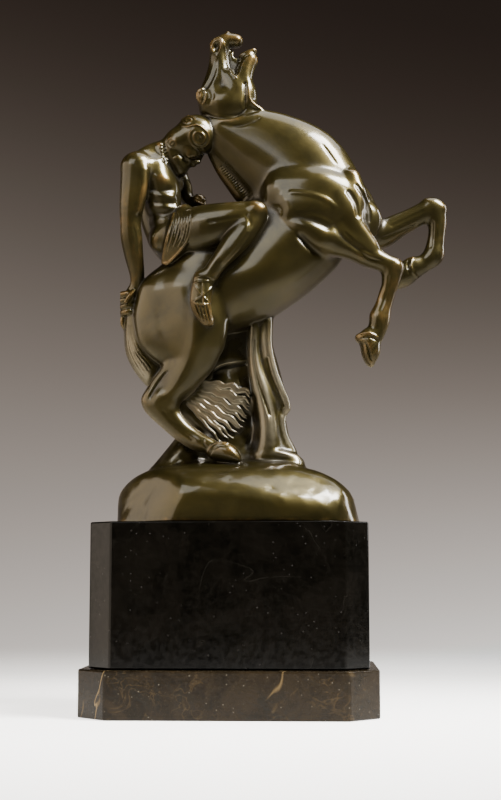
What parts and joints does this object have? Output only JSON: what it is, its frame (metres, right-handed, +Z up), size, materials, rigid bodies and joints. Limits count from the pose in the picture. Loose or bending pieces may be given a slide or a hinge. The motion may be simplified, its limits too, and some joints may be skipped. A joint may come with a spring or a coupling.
{
  "type": "equestrian figure group on a stone plinth",
  "caption": "Bronze figure group of a rearing horse with a bowed bareback rider, cast with its low mound and set on a chamfered black marble block and a veined foot slab.",
  "frame": {"origin": "middle of the foot slab's underside", "axes": "+Z up, +X along the slab towards the raised forelegs, -Y is the front that shows the rider's near side"},
  "size_m": [0.277, 0.146, 0.5294],
  "materials": {
    "bronze": "dark olive-brown patina, polished, rubbed golden on the high places",
    "black_marble": "polished near-black marble",
    "brown_marble": "polished dark brown marble with ochre veins"
  },
  "bodies": {
    "root": {"figure_group": "bronze", "plinth_block": "black_marble", "plinth_foot": "brown_marble"}
  },
  "joints": []
}
